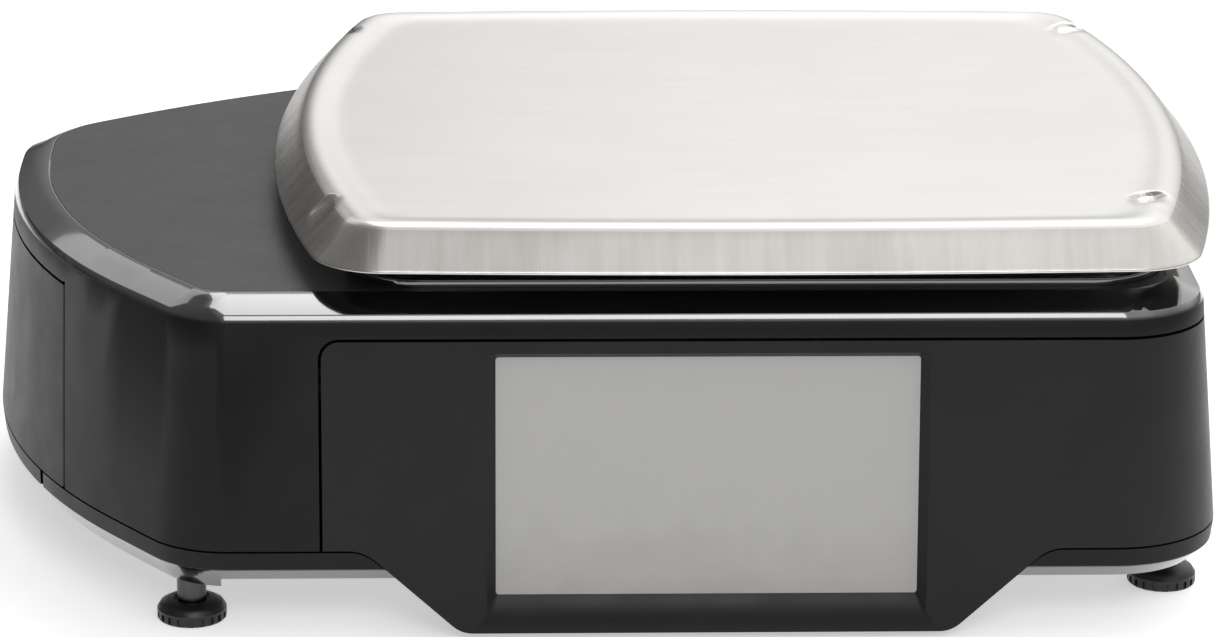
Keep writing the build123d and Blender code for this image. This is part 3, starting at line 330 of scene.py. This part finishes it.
def groove_drop(x, y):
    """How far the lip is pressed down at a point: a steep wall behind and a long ramp in front."""
    drop = 0.0
    for gx, gy in GROOVES:
        if abs(x - gx) > 2 * GROOVE_HALF_X:
            continue
        across = smooth(1.35 - abs(x - gx) / GROOVE_HALF_X)
        arch = gy + GROOVE_ARCH * (1 - ((x - gx) / GROOVE_HALF_X) ** 2)
        behind = smooth((arch - y) / GROOVE_BACK)
        ahead = smooth(1 - (gy - y) / GROOVE_FRONT / 1.3)
        drop = max(drop, GROOVE_DEPTH * across * behind * ahead)
    return drop


def sheet_mesh(name, rings, groups):
    """Joins rings of equal length into a skin, and closes each ring in groups with one face."""
    count = len(rings[0])
    points = [p for ring in rings for p in ring]
    faces = []
    for i in range(len(rings) - 1):
        for j in range(count):
            k = (j + 1) % count
            faces.append((i * count + j, i * count + k, (i + 1) * count + k, (i + 1) * count + j))
    for ring_number, flip in groups:
        loop = list(range(ring_number * count, (ring_number + 1) * count))
        faces.append(loop[::-1] if flip else loop)
    mesh = bpy.data.meshes.new(name)
    mesh.from_pydata(points, [], faces)
    mesh.update()
    mesh.shade_smooth()
    return mesh


def dense(profile, step):
    """The profile with extra points, so that no two are further apart than step millimetres."""
    out = [profile[0]]
    for a, b in zip(profile, profile[1:]):
        parts = max(1, int(hypot(b[0] - a[0], b[1] - a[1]) / step + 0.5))
        for i in range(1, parts + 1):
            out.append((a[0] + (b[0] - a[0]) * i / parts, a[1] + (b[1] - a[1]) * i / parts))
    return out


# the underside of the sheet, listed as the profile is, and the insets between which it follows the grooves
UNDERSIDE = ((1.5, 16.5), (2.2, 14.8), (10.9, 4.2), (14.0, 2.4), (18.0, 2.3), (40.0, 3.4))
UNDER_GROOVES = (10.0, 20.0)
GROOVE_FADE = (3.0, 12.0)               # insets where the grooves begin and reach their depth
RING_STEP = 0.8                         # greatest distance between two rings


def build_platter():
    top = PLATTER_HIGH.z
    fade_start, fade_end = GROOVE_FADE
    under_start, under_end = UNDER_GROOVES
    rings = []
    for inset, below in dense(PROFILE, RING_STEP):
        ring = []
        for p in platter_outline(inset * MM):
            drop = groove_drop(p.x, p.y) * smooth((inset - fade_start) / (fade_end - fade_start))
            ring.append((PLATTER_X + p.x, PLATTER_Y + p.y, top - below * MM - drop))
        rings.append(ring)
    upper = len(rings) - 1
    inner = []
    for inset, below in UNDERSIDE:
        ring = []
        for p in platter_outline(inset * MM):
            drop = groove_drop(p.x, p.y) if under_start < inset < under_end else 0.0
            ring.append((PLATTER_X + p.x, PLATTER_Y + p.y, top - below * MM - drop))
        inner.append(ring)
    rings = inner[::-1] + rings
    mesh = sheet_mesh("platter_pan", rings, ((0, True), (upper + len(inner), False)))
    pan = bpy.data.objects.new("platter_pan", mesh)
    bpy.context.scene.collection.objects.link(pan)
    for finish in ("stainless_steel", "end_skirt_painted_shade", "side_skirt_painted_shade"):
        mesh.materials.append(FINISHES[finish])
    # sloped faces below the lip take the darker skirt steels: painted shade, deepest on the sides
    for face in mesh.polygons:
        if 0.1 < face.normal.z < 0.85 and face.center.z < top - SKIRT_TOP:
            face.material_index = 1 if abs(face.normal.y) > 0.5 * abs(face.normal.x) else 2
    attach(pan, "platter")
    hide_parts("platter")


build_platter()


# ---------------------------------------------------------------- floor, lights and camera
def build_floor():
    material, tree, shader, place = new_material("FloorWithPaintedLightPool", Specular_IOR_Level=0.2)
    distance = add_node(tree, "ShaderNodeVectorMath", {0: place}, operation="LENGTH").outputs["Value"]
    # painted light: a pool of light, pale near the scale and fading to a darker grey further out
    far = spread(tree, distance, 0.0, 1.0, 1.0, 2.6)
    tree.links.new(mix_colors(tree, far, (0.88, 0.88, 0.88), (0.3, 0.3, 0.3)), shader.inputs["Base Color"])
    # painted light: the floor glows white near the scale, which lifts the shadows there
    shader.inputs["Emission Color"].default_value = (1.0, 1.0, 1.0, 1.0)
    tree.links.new(spread(tree, far, 0.5, 0.02, 0.0, 1.0), shader.inputs["Emission Strength"])
    shader.inputs["Roughness"].default_value = 0.75
    reach = 30.0
    mesh = bpy.data.meshes.new("studio_floor")
    corners = [(-reach, -reach, 0), (reach, -reach, 0), (reach, reach, 0), (-reach, reach, 0)]
    mesh.from_pydata(corners, [], [(0, 1, 2, 3)])
    mesh.materials.append(material)
    floor = bpy.data.objects.new("studio_floor", mesh)
    bpy.context.scene.collection.objects.link(floor)


def area_light(name, place, target, size, power):
    """A soft rectangular light, in watts, that faces its target and isn't seen by the camera."""
    data = bpy.data.lights.new(name, "AREA")
    data.shape = "RECTANGLE"
    data.size, data.size_y = size
    data.energy = power
    light = bpy.data.objects.new(name, data)
    light.location = place
    light.rotation_euler = (Vector(target) - Vector(place)).to_track_quat("-Z", "Y").to_euler()
    light.visible_camera = False
    bpy.context.scene.collection.objects.link(light)


def build_world():
    world = bpy.data.worlds.new("Studio")
    world.use_nodes = True
    tree = world.node_tree
    background = tree.nodes["Background"]
    direction = add_node(tree, "ShaderNodeTexCoord").outputs["Generated"]
    axes = add_node(tree, "ShaderNodeSeparateXYZ", {"Vector": direction})
    rear = spread(tree, axes.outputs["Z"], 0.3, 1.2, 0.0, 0.3)
    front = spread(tree, axes.outputs["Z"], 0.25, 1.0, 0.1, 0.65)
    turn = spread(tree, axes.outputs["Y"], 0.0, 1.0, -0.15, 0.35)
    around = add_node(tree, "ShaderNodeMix", {0: turn, 2: front, 3: rear}).outputs[0]
    left = spread(tree, axes.outputs["X"], 0.18, 1.0, -0.24, 0.04)
    strength = add_node(tree, "ShaderNodeMath", {0: around, 1: left}, operation="MULTIPLY").outputs[0]
    tree.links.new(strength, background.inputs["Strength"])
    background.inputs["Color"].default_value = (1.0, 0.995, 0.985, 1.0)
    bpy.context.scene.world = world


CAMERA_PLACE = Vector((-58.055, -1958.73, 690.0)) * MM
LENS, SENSOR = 140.857, 36.0            # focal length and sensor width in millimetres
PITCH, YAW, ROLL = radians(17.85), radians(1.9), radians(-0.4)


def build_camera():
    forward = Vector((sin(YAW) * cos(PITCH), cos(YAW) * cos(PITCH), -sin(PITCH)))
    level = Vector((cos(YAW), -sin(YAW), 0.0))
    down = forward.cross(level)
    right = level * cos(ROLL) + down * sin(ROLL)
    down = down * cos(ROLL) - level * sin(ROLL)
    data = bpy.data.cameras.new("Camera")
    data.sensor_width = SENSOR
    data.lens = LENS
    data.clip_end = 100.0
    camera = bpy.data.objects.new("Camera", data)
    turn = Matrix((right, -down, -forward)).transposed().to_4x4()
    camera.matrix_world = Matrix.Translation(CAMERA_PLACE) @ turn
    bpy.context.scene.collection.objects.link(camera)
    bpy.context.scene.camera = camera


build_floor()
build_world()
area_light("overhead", (0.1, 1.0, 1.95), (0.0, -0.2, 0.1), (1.3, 1.0), 9.5)
area_light("left_rear", (-1.02, 1.5, 1.42), (-0.2, -0.1, 0.13), (0.9, 0.9), 2.0)
area_light("front", (0.1, -1.68, 1.2), (0.04, -0.25, 0.01), (1.0, 0.6), 6.5)
build_camera()
bpy.context.scene.view_settings.view_transform = "Standard"
